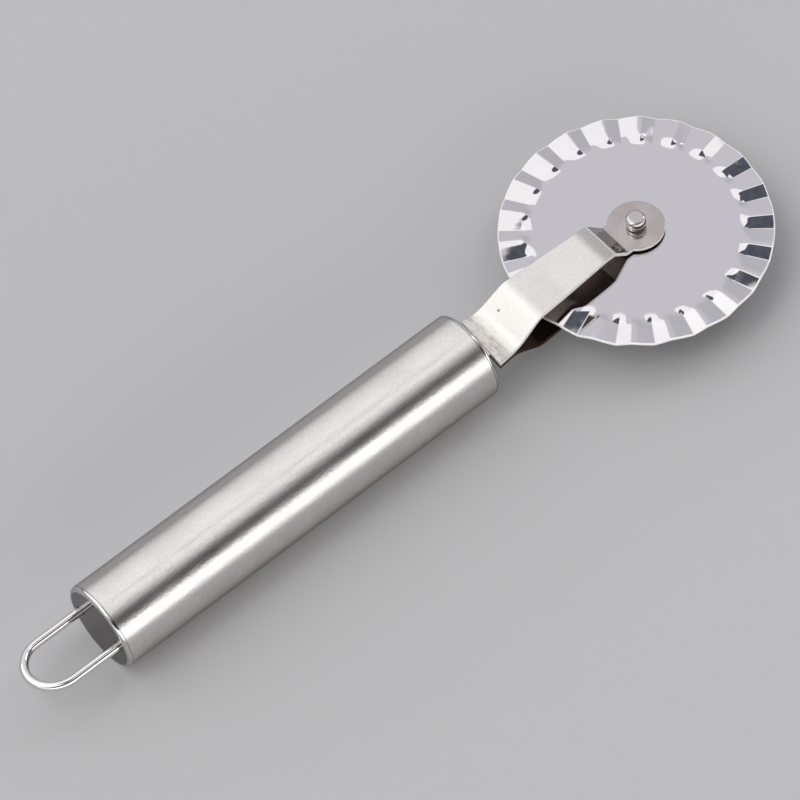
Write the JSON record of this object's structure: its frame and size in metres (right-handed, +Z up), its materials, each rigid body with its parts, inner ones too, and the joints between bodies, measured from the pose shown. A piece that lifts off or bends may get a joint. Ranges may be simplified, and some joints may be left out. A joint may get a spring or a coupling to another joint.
{
  "type": "pizza cutter",
  "caption": "All-steel pastry and pizza cutter: a thin wheel with a fluted rim on a bent fork, a round tube handle with end caps, and a wire hanging loop.",
  "frame": {"origin": "Middle of the bounding box's bottom face: x midway between the end of the hanging loop and the front of the wheel, y on the tool's long axis, z on the lowest flat side of the handle, which the tool lies on.", "axes": "+X runs along the tool from the hanging loop to the wheel, +Z is up along the wheel's axle, and +Y is to the left of a viewer who looks along +X."},
  "size_m": [0.198, 0.06, 0.0203],
  "materials": {
    "wheel_steel": "mirror polished",
    "arm_steel": "satin",
    "tube_steel": "brushed round its circumference",
    "polished_steel": "polished"
  },
  "bodies": {
    "handle": {"fork_arm_upper": "arm_steel", "fork_arm_lower": "arm_steel", "axle_rivet": "polished_steel", "spacer_washer_upper": "arm_steel", "spacer_washer_lower": "arm_steel", "handle_tube": "tube_steel", "front_cap": "polished_steel", "rear_cap": "polished_steel", "hanging_loop": "polished_steel"},
    "wheel": {"cutting_wheel": "wheel_steel"}
  },
  "joints": [
    {"name": "wheel_spin", "type": "hinge", "parent": "handle", "child": "wheel", "pos_m": [0.069, 0, 0.01014], "axis": [0, 0, 1], "continuous": true}
  ]
}
